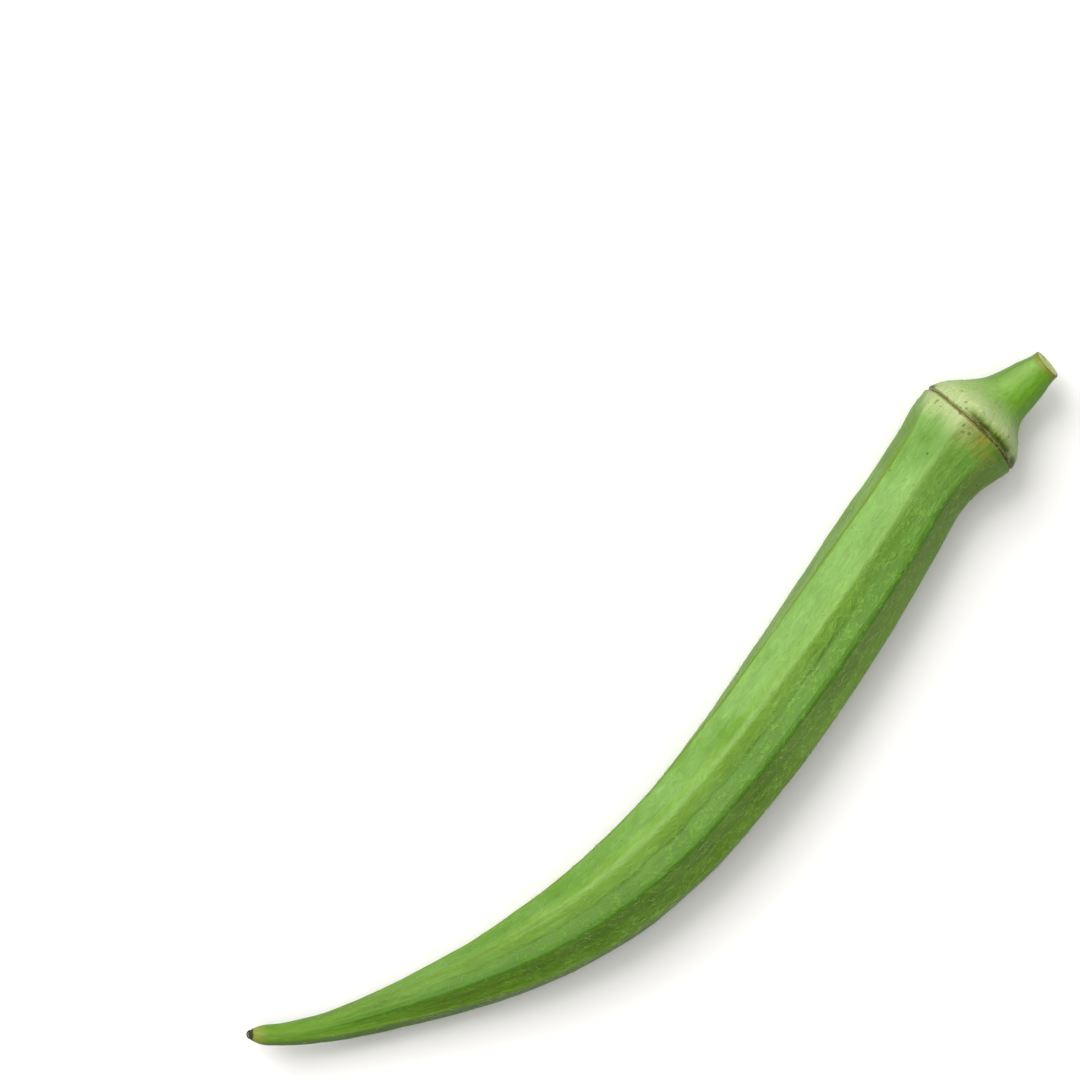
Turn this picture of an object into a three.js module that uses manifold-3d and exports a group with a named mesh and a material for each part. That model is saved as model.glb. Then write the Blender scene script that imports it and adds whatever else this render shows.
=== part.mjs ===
// A freshly picked okra pod lying on its side: one solid from the dried tip, along eight ridges,
// over the ring scar where the flower fell off, to the cap and the cut end of its stem.
// Millimetres, +Z up. +X runs from the tip to the stem, and the pod bows towards -Y.
// The origin is under the middle of its bounding box, on the surface that it lies on.
import * as THREE from "three";
import { mergeVertices } from "three/addons/utils/BufferGeometryUtils.js";
import Module from "manifold-3d";

// The middle line, as points [x, y, z] from the tip to the middle of the cut.
const MIDDLE_LINE = [
  [-75.0, 0.6, 6.9],
  [-73.2, -1.1, 6.5],
  [-70.4, -3.25, 6.1],
  [-64.7, -6.6, 5.6],
  [-51.6, -11.9, 5.3],
  [-38.2, -15.8, 5.65],
  [-24.4, -17.8, 6.35],
  [-10.4, -17.5, 7.0],
  [3.4, -15.2, 7.35],
  [17.0, -11.8, 7.45],
  [30.4, -7.8, 7.55],
  [43.8, -3.5, 7.75],
  [50.5, -1.4, 7.95],
  [57.2, -0.1, 8.1],
  [61.2, 0.22, 8.05],
  [65.0, 0.32, 7.95],
  [69.5, 0.08, 8.0],
  [75.0, 0.05, 8.2],
];

// Girth: [distance from the tip along the middle line, radius out to the ridges].
const TIP_LENGTH = 0.25;
const TIP_RADIUS = 0.62;
const POD_GIRTH = [
  [TIP_LENGTH, TIP_RADIUS],
  [0.6, 0.82],
  [1.1, 1.05],
  [1.9, 1.34],
  [2.8, 1.5],
  [4.2, 1.56],
  [6, 1.7],
  [12.3, 2.18],
  [19.4, 2.84],
  [33.4, 4.55],
  [47.4, 6.25],
  [61.4, 7.38],
  [76, 7.82],
  [91, 7.98],
  [110, 7.78],
  [124.4, 7.22],
  [130.5, 6.85],
  [135.1, 7.2],
  [138.7, 8.0],
  [140.2, 8.25],
  [141.4, 8.38],
];
const CAP_GIRTH = [
  [142.5, 8.32],
  [143.7, 7.82],
  [145.6, 6.3],
  [147, 5.05],
  [148.5, 4.15],
  [150.5, 3.56],
  [153, 3.02],
  [156.2, 2.32],
];

// The ring round the pod stands askew, furthest towards the stem at one side, and waves a little.
const RING_AT = 141.9;
const RING_LEAN = 0.5;
const RING_LEAN_SIDE = THREE.MathUtils.degToRad(125);
const RING_WAVE = 0.1;
const RING_REACH = 12;

// The scar along the ring: a groove with a thin lip on each side, the pod's and the cap's, each
// [place, height] with the place in half widths of the groove.
const SCAR_HALF_WIDTH = 0.34;
const SCAR_DEPTH = 0.3;
const LIPS = [
  [-1.5, 0.06],
  [1.5, 0.07],
];
const LIP_WIDTH = 1.2;

// The stem's cut is slanted, with a rounded rim and a slightly hollow face.
const CUT_SLANT = THREE.MathUtils.degToRad(13);
const SLANT_LENGTH = 3;
const RIM_ROUND = 0.25;
const CUT_HOLLOW = 0.25;
const CUT_RINGS = [0.88, 0.55, 0.28];

// The eight ridges stand in these places round the pod, in degrees from the first, and all turn
// with the distance from the tip, [distance, degrees]. The valleys between them are as deep as a
// share of the radius, [distance, share], and no two faces are quite alike.
const RIDGE_PLACES = [0, 42.5, 85, 131, 177, 223, 269, 314.5, 360];
const RIDGE_COUNT = RIDGE_PLACES.length - 1;
const RIDGE_TURN = [
  [0, 38],
  [18, 45],
  [30, 52],
  [50, 61],
  [70, 65.5],
  [78, 67],
  [98, 73],
  [113, 78],
  [128, 82],
  [141, 80],
  [156, 80],
];
const VALLEY_DEPTH = [
  [0, 0],
  [4, 0.035],
  [20, 0.08],
  [60, 0.092],
  [105, 0.088],
  [122, 0.07],
  [132, 0.05],
  [139, 0.03],
  [143, 0.025],
  [148, 0.02],
  [153, 0],
];
const RIDGE_BULGE = 0.7;
const RIDGE_ROUNDING = 0.07;
const UNEVEN_FACES = 0.2;
const UNEVEN_STEP = 2.244;
const SIDES_PER_RIDGE = 8;

// How far apart the rings of the skin stand, [distance from the tip, spacing].
const SKIN_SPACING = [
  [0, 0.25],
  [1.2, 0.5],
  [3, 1.6],
  [20, 4],
  [120, 4.4],
  [134, 2],
  [139.8, 0.9],
  [140.9, 0.22],
  [142.7, 0.22],
  [143.9, 0.7],
  [150, 1.6],
  [155.4, 0.9],
];

const SKIN = new THREE.MeshStandardMaterial({
  name: "pod_skin",
  color: new THREE.Color(0.27, 0.5, 0.12),
  roughness: 0.48,
  metalness: 0,
});

// A smooth line through the points [at, value] that never overshoots between them.
function lineThrough(points) {
  const slopes = points.map((p, i) => {
    const before = i > 0 ? slopeBetween(points[i - 1], p) : 0;
    const after = i < points.length - 1 ? slopeBetween(p, points[i + 1]) : 0;
    return before * after > 0 ? (2 * before * after) / (before + after) : 0;
  });
  return (at) => {
    const last = points.length - 2;
    const found = points.findIndex((p, i) => i > last || at < points[i + 1][0]);
    const i = Math.min(found, last);
    const [[x0, y0], [x1, y1]] = [points[i], points[i + 1]];
    const step = x1 - x0;
    const t = THREE.MathUtils.clamp((at - x0) / step, 0, 1);
    const s = 1 - t;
    return (
      y0 * s * s * (1 + 2 * t) +
      y1 * t * t * (1 + 2 * s) +
      slopes[i] * step * t * s * s -
      slopes[i + 1] * step * t * t * s
    );
  };
}

function slopeBetween([x0, y0], [x1, y1]) {
  return (y1 - y0) / (x1 - x0);
}

const middle = new THREE.CatmullRomCurve3(
  MIDDLE_LINE.map((p) => new THREE.Vector3(...p)),
);
middle.arcLengthDivisions = 2000;
const LENGTH = middle.getLength();

const girthAt = lineThrough([...POD_GIRTH, ...CAP_GIRTH]);
const depthAt = lineThrough(VALLEY_DEPTH);
const turnAt = lineThrough(RIDGE_TURN);
const spacingAt = lineThrough(SKIN_SPACING);

// A smooth hill of height 1 that falls to nothing at 1 from its middle.
function hill(x) {
  return Math.abs(x) < 1 ? (1 - x * x) ** 2 : 0;
}

// The radius over the ridges at a distance from the tip, without the scar.
function radiusAt(distance) {
  if (distance >= TIP_LENGTH) return girthAt(distance);
  const fromEnd = 1 - distance / TIP_LENGTH;
  return TIP_RADIUS * Math.sqrt(1 - fromEnd ** 2);
}

// How far the askew ring pulls the skin near it towards the stem.
function ringPull(distance, angle) {
  const pull = RING_LEAN * Math.cos(angle - RING_LEAN_SIDE) + RING_WAVE * Math.cos(3 * angle);
  return pull * hill((distance - RING_AT) / RING_REACH);
}

// What the ring scar adds to the radius: its groove and its lips.
function scarRelief(distance) {
  const off = (distance - RING_AT) / SCAR_HALF_WIDTH;
  const lips = LIPS.map(([place, height]) => height * hill((off - place) / LIP_WIDTH));
  return lips[0] + lips[1] - SCAR_DEPTH * hill(off);
}

// The share of the radius that is left part of the way across a face: 1 on the ridge at either
// side of the face, least in the valley between them.
function ridgeShare(distance, face, across) {
  const offRidge = 1 - Math.abs(1 - 2 * across);
  const rounded = Math.hypot(offRidge, RIDGE_ROUNDING) - RIDGE_ROUNDING;
  const fall = rounded + RIDGE_BULGE * rounded * (1 - rounded);
  const uneven = 1 + UNEVEN_FACES * Math.cos(UNEVEN_STEP * face);
  return 1 - depthAt(distance) * uneven * fall;
}

// The frame of the section at a distance: its middle, the way on, the way left and the way up.
function sectionAt(distance) {
  const share = THREE.MathUtils.clamp(distance / LENGTH, 0, 1);
  const centre = middle.getPointAt(share);
  const onward = middle.getTangentAt(share);
  const left = new THREE.Vector3(0, 0, 1).cross(onward).normalize();
  const up = onward.clone().cross(left);
  return { centre, onward, left, up };
}

// One ring of points round the skin. The cut's own rings are drawn in to a share of the radius
// and sink a little below the rim.
function skinRing(distance, share = 1, sink = 0) {
  const sides = RIDGE_COUNT * SIDES_PER_RIDGE;
  const slant = THREE.MathUtils.smoothstep(distance, LENGTH - SLANT_LENGTH, LENGTH);
  return Array.from({ length: sides }, (_, side) => {
    const face = Math.floor(side / SIDES_PER_RIDGE);
    const across = side / SIDES_PER_RIDGE - face;
    const place = THREE.MathUtils.lerp(RIDGE_PLACES[face], RIDGE_PLACES[face + 1], across);
    const angle = THREE.MathUtils.degToRad(place + turnAt(distance));
    const fullRadius = radiusAt(distance) * ridgeShare(distance, face, across);
    const radius = share * (fullRadius + scarRelief(distance));
    const rise = radius * Math.sin(angle);
    const { centre, onward, left, up } = sectionAt(distance + ringPull(distance, angle));
    return centre
      .addScaledVector(left, radius * Math.cos(angle))
      .addScaledVector(up, rise)
      .addScaledVector(onward, -sink - rise * slant * Math.tan(CUT_SLANT));
  });
}

// The distances from the tip at which the skin has a ring.
function ringDistances() {
  const found = [];
  for (let d = TIP_LENGTH / 5; d < LENGTH - RIM_ROUND; d += spacingAt(d)) found.push(d);
  return found;
}

// All rings from the tip to the hollow of the cut, each a list of points.
function podRings() {
  const rings = ringDistances().map((distance) => skinRing(distance));
  rings.push(skinRing(LENGTH - RIM_ROUND));
  for (const share of CUT_RINGS) rings.push(skinRing(LENGTH, share, CUT_HOLLOW * (1 - share)));
  return rings;
}

// Joins neighbouring rings with triangles, and closes each end with a fan round one point.
function skinOver(rings, firstPoint, lastPoint) {
  const sides = rings[0].length;
  const points = [firstPoint, ...rings.flat(), lastPoint];
  const triangles = [];
  const at = (ring, side) => 1 + ring * sides + (side % sides);
  for (let side = 0; side < sides; side++) {
    triangles.push(0, at(0, side + 1), at(0, side));
    for (let ring = 0; ring < rings.length - 1; ring++) {
      const [a, b] = [at(ring, side), at(ring, side + 1)];
      const [c, d] = [at(ring + 1, side), at(ring + 1, side + 1)];
      triangles.push(a, b, d, a, d, c);
    }
    const last = rings.length - 1;
    triangles.push(points.length - 1, at(last, side), at(last, side + 1));
  }
  const geometry = new THREE.BufferGeometry().setFromPoints(points);
  geometry.setIndex(triangles);
  return geometry;
}

function podSkin() {
  const tip = sectionAt(0).centre;
  const { centre, onward } = sectionAt(LENGTH);
  return skinOver(podRings(), tip, centre.addScaledVector(onward, -CUT_HOLLOW));
}

// Cuts off what would sink below the surface, which leaves small flat spots to rest on.
async function restOnSurface(geometry) {
  const wasm = await Module();
  wasm.setup();
  const solidOf = (shape) => {
    const bare = shape.clone();
    bare.deleteAttribute("normal");
    bare.deleteAttribute("uv");
    const merged = mergeVertices(bare, 1e-4);
    return new wasm.Manifold(
      new wasm.Mesh({
        numProp: 3,
        vertProperties: merged.attributes.position.array,
        triVerts: new Uint32Array(merged.index.array),
      }),
    );
  };
  const size = 2 * LENGTH;
  const below = new THREE.BoxGeometry(size, size, size).translate(0, 0, -size / 2);
  const cut = solidOf(geometry).subtract(solidOf(below)).getMesh();
  const made = new THREE.BufferGeometry();
  made.setAttribute("position", new THREE.BufferAttribute(cut.vertProperties, 3));
  made.setIndex(new THREE.BufferAttribute(cut.triVerts, 1));
  return made;
}

// Puts the origin under the middle of the bounding box.
function centreOnOrigin(geometry) {
  geometry.computeBoundingBox();
  const middleOfBox = geometry.boundingBox.getCenter(new THREE.Vector3());
  return geometry.translate(-middleOfBox.x, -middleOfBox.y, 0);
}

const podGeometry = centreOnOrigin(await restOnSurface(podSkin()));
podGeometry.computeVertexNormals();

const pod = new THREE.Mesh(podGeometry, SKIN);
pod.name = "okra_pod";

const okra = new THREE.Group();
okra.name = "okra";
okra.add(pod);

export default okra;
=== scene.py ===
"""A freshly picked okra pod, lying on its side on a pale floor.

Metres, +Z up. +X runs from the tip to the stem and the pod bows towards -Y. The lists of the
pod's measures are in millimetres, as its outline was measured, and MM turns them into metres.
"""
import math

import bpy
import numpy as np
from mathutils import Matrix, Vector, noise


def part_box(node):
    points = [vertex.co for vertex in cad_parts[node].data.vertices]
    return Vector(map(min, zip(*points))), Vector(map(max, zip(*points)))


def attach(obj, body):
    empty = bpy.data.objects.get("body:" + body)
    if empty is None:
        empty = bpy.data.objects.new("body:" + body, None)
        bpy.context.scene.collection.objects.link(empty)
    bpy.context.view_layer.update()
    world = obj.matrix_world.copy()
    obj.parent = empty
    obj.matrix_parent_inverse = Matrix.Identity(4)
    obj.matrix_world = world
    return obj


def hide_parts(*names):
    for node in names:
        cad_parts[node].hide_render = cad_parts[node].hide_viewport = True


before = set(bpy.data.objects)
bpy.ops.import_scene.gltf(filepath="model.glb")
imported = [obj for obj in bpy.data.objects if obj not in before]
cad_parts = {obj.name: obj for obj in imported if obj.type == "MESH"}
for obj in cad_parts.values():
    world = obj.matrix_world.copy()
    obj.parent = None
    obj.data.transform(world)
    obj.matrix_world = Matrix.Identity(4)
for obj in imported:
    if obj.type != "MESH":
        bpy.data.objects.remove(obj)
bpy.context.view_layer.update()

MM = 0.001

# The middle line of the pod, from the tip to the middle of the cut.
MIDDLE_LINE = [
    (-75.0, 0.6, 6.9),
    (-73.2, -1.1, 6.5),
    (-70.4, -3.25, 6.1),
    (-64.7, -6.6, 5.6),
    (-51.6, -11.9, 5.3),
    (-38.2, -15.8, 5.65),
    (-24.4, -17.8, 6.35),
    (-10.4, -17.5, 7.0),
    (3.4, -15.2, 7.35),
    (17.0, -11.8, 7.45),
    (30.4, -7.8, 7.55),
    (43.8, -3.5, 7.75),
    (50.5, -1.4, 7.95),
    (57.2, -0.1, 8.1),
    (61.2, 0.22, 8.05),
    (65.0, 0.32, 7.95),
    (69.5, 0.08, 8.0),
    (75.0, 0.05, 8.2),
]

# Girth: the distance from the tip along the middle line, and the radius out to the ridges.
TIP_LENGTH = 0.25
TIP_RADIUS = 0.62
POD_GIRTH = [
    (TIP_LENGTH, TIP_RADIUS),
    (0.6, 0.82),
    (1.1, 1.05),
    (1.9, 1.34),
    (2.8, 1.5),
    (4.2, 1.56),
    (6, 1.7),
    (12.3, 2.18),
    (19.4, 2.84),
    (33.4, 4.55),
    (47.4, 6.25),
    (61.4, 7.38),
    (76, 7.82),
    (91, 7.98),
    (110, 7.78),
    (124.4, 7.22),
    (130.5, 6.85),
    (135.1, 7.2),
    (138.7, 8.0),
    (140.2, 8.25),
    (141.4, 8.38),
]
CAP_GIRTH = [
    (142.5, 8.32),
    (143.7, 7.82),
    (145.6, 6.3),
    (147, 5.05),
    (148.5, 4.15),
    (150.5, 3.56),
    (153, 3.02),
    (156.2, 2.32),
]

# The ridges, in degrees: their places round the pod from the first, and how far they have all
# turned with the distance from the tip. The depth of the valleys is a share of the radius, and
# differs by face in a wave that takes a step of UNEVEN_STEP radians from each to the next.
RIDGE_PLACES = [0, 42.5, 85, 131, 177, 223, 269, 314.5, 360]
RIDGE_COUNT = len(RIDGE_PLACES) - 1
RIDGE_BULGE = 0.7
RIDGE_ROUNDING = 0.07
UNEVEN_FACES = 0.2
UNEVEN_STEP = 2.244
VALLEY_DEPTH = [
    (0, 0),
    (4, 0.035),
    (20, 0.08),
    (60, 0.092),
    (105, 0.088),
    (122, 0.07),
    (132, 0.05),
    (139, 0.03),
    (143, 0.025),
    (148, 0.02),
    (153, 0),
]
RIDGE_TURN = [
    (0, 38),
    (18, 45),
    (30, 52),
    (50, 61),
    (70, 65.5),
    (78, 67),
    (98, 73),
    (113, 78),
    (128, 82),
    (141, 80),
    (156, 80),
]

# The askew ring round the pod, and the scar along it.
RING_AT = 141.9
RING_LEAN = 0.5
RING_LEAN_SIDE = math.radians(125)
RING_WAVE = 0.1
RING_REACH = 12
SCAR_HALF_WIDTH = 0.34
SCAR_DEPTH = 0.3
LIPS = [
    (-1.5, 0.06),
    (1.5, 0.07),
]
LIP_WIDTH = 1.2
# Its corky threads: how far each is off the middle of the groove, and how deep in the skin.
THREADS = [-0.17, 0.15]
THREAD_SINK = 0.02

# The slanted, slightly hollow cut at the end of the stem.
CUT_SLANT = math.radians(13)
SLANT_LENGTH = 3
RIM_ROUND = 0.25
CUT_HOLLOW = 0.25
CUT_ROWS = [0.97, 0.9, 0.78, 0.62, 0.45, 0.28, 0.12]
# The thin lens that is the face of the cut: its height over the hollow, how deep its edge sinks,
# its thickness, and its rings, from a share of the radius outward. Every second point of the rim
# and, underneath, every sixth ring is enough.
LENS_HEIGHT = 0.07
LENS_SINK = 0.02
LENS_THICKNESS = 0.12
FIRST_CUT_RING = 0.04
CUT_RINGS = 22
CUT_STEP = 2
UNDERSIDE_STEP = 6
# Its fibres stand out most in a ring, at a share of the radius. They come in two sizes: how many
# to the metre, and how high.
FIBRE_RING = 0.72
FIBRE_RING_WIDTH = 0.12
FIBRE_RING_HEIGHT = 0.07
CUT_FIBRES = [(5200, 0.05), (14000, 0.03)]

# Counted round from the ridge that runs along the top: how pale, dark green or olive the thread of
# each ridge is, and how deep the crease along each face.
PALE_RIDGES = [1.0, 0.0, 0.3, 0.3, 0.4, 0.2, 0.3, 0.1]
DARK_RIDGES = [0.0, 1.0, 0.0, 0.4, 0.0, 0.5, 0.2, 0.0]
OLIVE_RIDGES = [0.65, 0.0, 0.6, 0.2, 0.5, 0.0, 0.6, 0.9]
CREASES = [1.0, 0.3, 0.6, 0.4, 0.9, 0.3, 0.7, 0.2]
# How cool, how warm and how pale the green is on each half of a face, counted the same way.
HALF_FACES = 2 * RIDGE_COUNT
COOL_SIDES = [0.1, 1.0, 0.0, 0.0, 0.1, 0.3, 0.3, 0.8, 0.4, 0.7, 0.3, 0.8, 0.2, 0.3, 0.2, 0.0]
# Warm is a darker green: painted shade on the halves turned from the light and on the strip along
# the left side, over a tone that differs by face.
WARM_AND_SHADE_SIDES = [0.4, 0.0, 1.0, 1.0, 1.0, 0.7, 0.3, 0.0, 0.5, 0.1, 0.4, 0.0, 0.6, 0.6, 0.0, 0.0]
# Pale is painted sheen on the face towards the light, over a tone that differs by face.
PALE_AND_SHEEN_SIDES = [0.15, 0.1, 0.25, 0.3, 0.2, 0.4, 0.1, 0.0, 0.5, 0.2, 0.0, 0.3, 0.3, 0.3, 0.9, 1.0]

# The dried cup on the tip: where it starts, how blunt the skin is under it, how far it looks up,
# and its rings from its base over its rim to its bottom, each as a share of the radius, how far
# forward, and how far inside.
TIP_BASE = 0.55
TIP_BLUNTNESS = 0.85
TIP_LOOKS_UP = 1.2
TIP_PROFILE = [
    (0.9, -0.1, -1.0),
    (0.99, -0.05, -0.1),
    (1.03, 0.05, 0.0),
    (1.0, 0.16, 0.0),
    (0.93, 0.27, 0.0),
    (0.84, 0.36, 0.0),
    (0.74, 0.4, 0.0),
    (0.62, 0.35, 0.2),
    (0.5, 0.27, 0.7),
    (0.3, 0.24, 1.0),
    (0.12, 0.26, 1.0),
]
# How far back the cup takes its direction from, where it is free of the skin, how wide it is as a
# share of the tip, how ragged, how closely torn, and how deep its root is. It has every fourth
# point of the skin.
CUP_GRIP = 0.6
CUP_FREE = 0.2
CUP_WIDTH = 1.15
CUP_RAGGED = 0.08
CUP_TATTERS = 1.7
CUP_ROOT = 0.1
CUP_STEP = 4

# How closely the skin is woven: sides round it, and its first row and the spacing of its rows
# along it.
SKIN_SIDES = 176
FIRST_ROW = TIP_LENGTH / 8
ROW_SPACING = [
    (0, 0.06),
    (1.5, 0.16),
    (5, 0.33),
    (125, 0.33),
    (138, 0.26),
    (140.8, 0.09),
    (143.0, 0.09),
    (145.5, 0.24),
    (154, 0.26),
    (156, 0.15),
]

# Where a relief or a colour lies along the pod, in metres from the tip: it begins, is full, fades,
# and is gone.
BODY_RELIEF = (0.004, 0.02, 0.132, 0.139)
SKIN_RELIEF = (0.001, 0.01, 0.1545, 0.1561)
PLEATED = (0.129, 0.1395, 0.1403, 0.1408)
HAIRY = (0.004, 0.02, 0.146, 0.152)
CRINKLED = (0.020, 0.055, 0.125, 0.138)
YELLOWED = (0.025, 0.06, 0.09, 0.13)
PALE_THREADS = (0.030, 0.048, 0.136, 0.1405)
DARK_THREADS = (0.006, 0.02, 0.128, 0.1395)
OLIVE_THREADS = (0.007, 0.016, 0.135, 0.1405)
CAP = (0.1415, 0.1425, 0.1450, 0.1490)
CAP_COLLAR = (0.1416, 0.1424, 0.1436, 0.1470)

# How far the hairs bend to a side and how far they lift, as shares of their length.
HAIR_BENDS = [(0.35, 0.16), (-0.3, 0.1), (0.12, 0.22), (-0.5, 0.13)]

# Colours, as the share of red, green and blue light that they give back.
DEEP_GREEN = (0.110, 0.250, 0.024)
LEAF_GREEN = (0.145, 0.303, 0.044)
COOL_GREEN = (0.108, 0.236, 0.027)
WARM_AND_SHADE_GREEN = (0.112, 0.205, 0.015)
TIP_SHADE_GREEN = (0.062, 0.145, 0.006)
END_GREEN = (0.112, 0.238, 0.016)
YELLOW_GREEN = (0.180, 0.335, 0.022)
STEM_GREEN = (0.122, 0.285, 0.018)
PALE_AND_SHEEN_GREEN = (0.200, 0.370, 0.085)
PALE_RIDGE = (0.195, 0.355, 0.070)
DARK_RIDGE = (0.072, 0.185, 0.010)
OLIVE_RIDGE = (0.130, 0.235, 0.012)
PALE_COLLAR = (0.400, 0.490, 0.210)
CAP_AND_HIGHLIGHT_GREEN = (0.250, 0.420, 0.095)
OLIVE = (0.200, 0.196, 0.022)
SPECK_AND_SHADE_GREEN = (0.042, 0.066, 0.005)
SCAR_BROWN = (0.370, 0.320, 0.130)
SCAR_DARK = (0.080, 0.066, 0.024)
CUT_CREAM = (0.620, 0.670, 0.230)
CUT_PITH = (0.500, 0.600, 0.190)
TIP_OLIVE = (0.235, 0.270, 0.036)
TIP_DARK = (0.042, 0.036, 0.020)
HAIR_PALE = (0.380, 0.540, 0.200)

# The floor, the light from all round, and the view from straight above, in metres.
FLOOR_HALF = 1.5
FLOOR_WHITE = (0.905, 0.885, 0.872)
SKY_STRENGTH = 0.12
VIEW_HEIGHT = 0.7
POD_MIDDLE_HEIGHT = 0.0075
PICTURE_WIDTH = 0.1552
PICTURE_CENTRE = (0.0028, 0.0361)
ROLL = math.radians(-40.18)
SENSOR = 36


def line_through(points):
    """A smooth line through points of distance and value that never overshoots between them."""
    at, value = np.array(points, float).T
    slope = np.diff(value) / np.diff(at)
    before, after = slope[:-1], slope[1:]
    both = before * after
    total = np.where(both > 0, before + after, 1)
    tangent = np.r_[0, np.where(both > 0, 2 * both / total, 0), 0]

    def value_at(distance):
        d = np.asarray(distance, float)
        i = np.clip(np.searchsorted(at, d, side="right") - 1, 0, len(at) - 2)
        step = at[i + 1] - at[i]
        t = np.clip((d - at[i]) / step, 0, 1)
        s = 1 - t
        ends = value[i] * s * s * (1 + 2 * t) + value[i + 1] * t * t * (1 + 2 * s)
        return ends + tangent[i] * step * t * s * s - tangent[i + 1] * step * t * t * s

    return value_at


def curve_through(points, steps=200):
    """Points close together on a smooth curve through a list of points, which it leaves evenly
    whatever their spacing."""
    p = np.array(points, float)
    p = np.vstack([2 * p[0] - p[1], p, 2 * p[-1] - p[-2]])
    knot = np.r_[0, np.cumsum(np.sqrt(np.linalg.norm(np.diff(p, axis=0), axis=1)))]
    made = []
    for i in range(1, len(p) - 2):
        k0, k1, k2, k3 = knot[i - 1 : i + 3]
        k = np.linspace(k1, k2, steps, endpoint=i == len(p) - 3)[:, None]
        a1 = p[i - 1] + (p[i] - p[i - 1]) * (k - k0) / (k1 - k0)
        a2 = p[i] + (p[i + 1] - p[i]) * (k - k1) / (k2 - k1)
        a3 = p[i + 1] + (p[i + 2] - p[i + 1]) * (k - k2) / (k3 - k2)
        b1 = a1 + (a2 - a1) * (k - k0) / (k2 - k0)
        b2 = a2 + (a3 - a2) * (k - k1) / (k3 - k1)
        made.append(b1 + (b2 - b1) * (k - k1) / (k2 - k1))
    return np.vstack(made)


MIDDLE = curve_through(MIDDLE_LINE)
ALONG_MIDDLE = np.r_[0, np.cumsum(np.linalg.norm(np.diff(MIDDLE, axis=0), axis=1))]
LENGTH = ALONG_MIDDLE[-1]

girth_at = line_through(POD_GIRTH + CAP_GIRTH)
depth_at = line_through(VALLEY_DEPTH)
turn_at = line_through(RIDGE_TURN)
spacing_at = line_through(ROW_SPACING)


def middle_at(distance):
    return np.array([np.interp(distance, ALONG_MIDDLE, MIDDLE[:, k]) for k in range(3)]).T


def section_at(distance):
    """The middle of the section at a distance, and the ways onward, left and up from it."""
    reach = 0.2
    before = middle_at(np.maximum(distance - reach, 0))
    onward = middle_at(np.minimum(distance + reach, LENGTH)) - before
    onward /= np.linalg.norm(onward, axis=-1, keepdims=True)
    left = np.cross([0, 0, 1], onward)
    left /= np.linalg.norm(left, axis=-1, keepdims=True)
    return middle_at(distance), onward, left, np.cross(onward, left)


def hill(x):
    """A smooth hill of height 1 that falls to nothing at 1 from its middle."""
    return np.where(np.abs(x) < 1, (1 - np.minimum(np.abs(x), 1) ** 2) ** 2, 0)


def radius_at(distance):
    """The radius over the ridges, with the rounded tip."""
    near_tip = np.clip(1 - np.asarray(distance) / TIP_LENGTH, 0, 1)
    return np.where(near_tip > 0, TIP_RADIUS * np.sqrt(1 - near_tip**2), girth_at(distance))


def scar_relief(distance):
    """What the ring scar adds to the radius: its groove and its lips."""
    off = (np.asarray(distance) - RING_AT) / SCAR_HALF_WIDTH
    lips = sum(height * hill((off - place) / LIP_WIDTH) for place, height in LIPS)
    return lips - SCAR_DEPTH * hill(off)


def skin_rows():
    """The rows of the skin from the tip to the middle of the cut: their distance, their share of
    the radius, and how far they sink behind the tip or below the cut's rim."""
    distances = []
    d = FIRST_ROW
    while d < LENGTH - RIM_ROUND:
        distances.append(d)
        d += float(spacing_at(d))
    distances += [LENGTH - RIM_ROUND] + [LENGTH] * len(CUT_ROWS)
    distances = np.array(distances)
    share = np.r_[np.ones(len(distances) - len(CUT_ROWS)), CUT_ROWS]
    blunt = TIP_BLUNTNESS * np.maximum(TIP_BASE - distances, 0)
    return distances, share, CUT_HOLLOW * (1 - share) - blunt


def in_scene(name, data):
    """A new object in the scene, for a mesh, a lamp or a camera."""
    made = bpy.data.objects.new(name, data)
    bpy.context.scene.collection.objects.link(made)
    return made


def points_of(mesh):
    places = np.zeros(len(mesh.vertices) * 3, np.float32)
    mesh.vertices.foreach_get("co", places)
    return places.reshape(-1, 3)


def put_points(mesh, places):
    mesh.vertices.foreach_set("co", places.ravel())
    mesh.update()


def spaced(inputs):
    """Inputs by the names of their sockets, which have spaces where Python has underscores."""
    return {title.replace("_", " "): value for title, value in inputs.items()}


def node(tree, kind, inputs=(), **settings):
    """Adds a node to a tree. inputs holds, by name or number, what each input is joined to or
    set to."""
    made = tree.nodes.new(kind)
    for name, value in settings.items():
        setattr(made, name, value)
    for socket, value in dict(inputs).items():
        if isinstance(value, bpy.types.NodeSocket):
            tree.links.new(value, made.inputs[socket])
        else:
            made.inputs[socket].default_value = value
    return made


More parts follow.
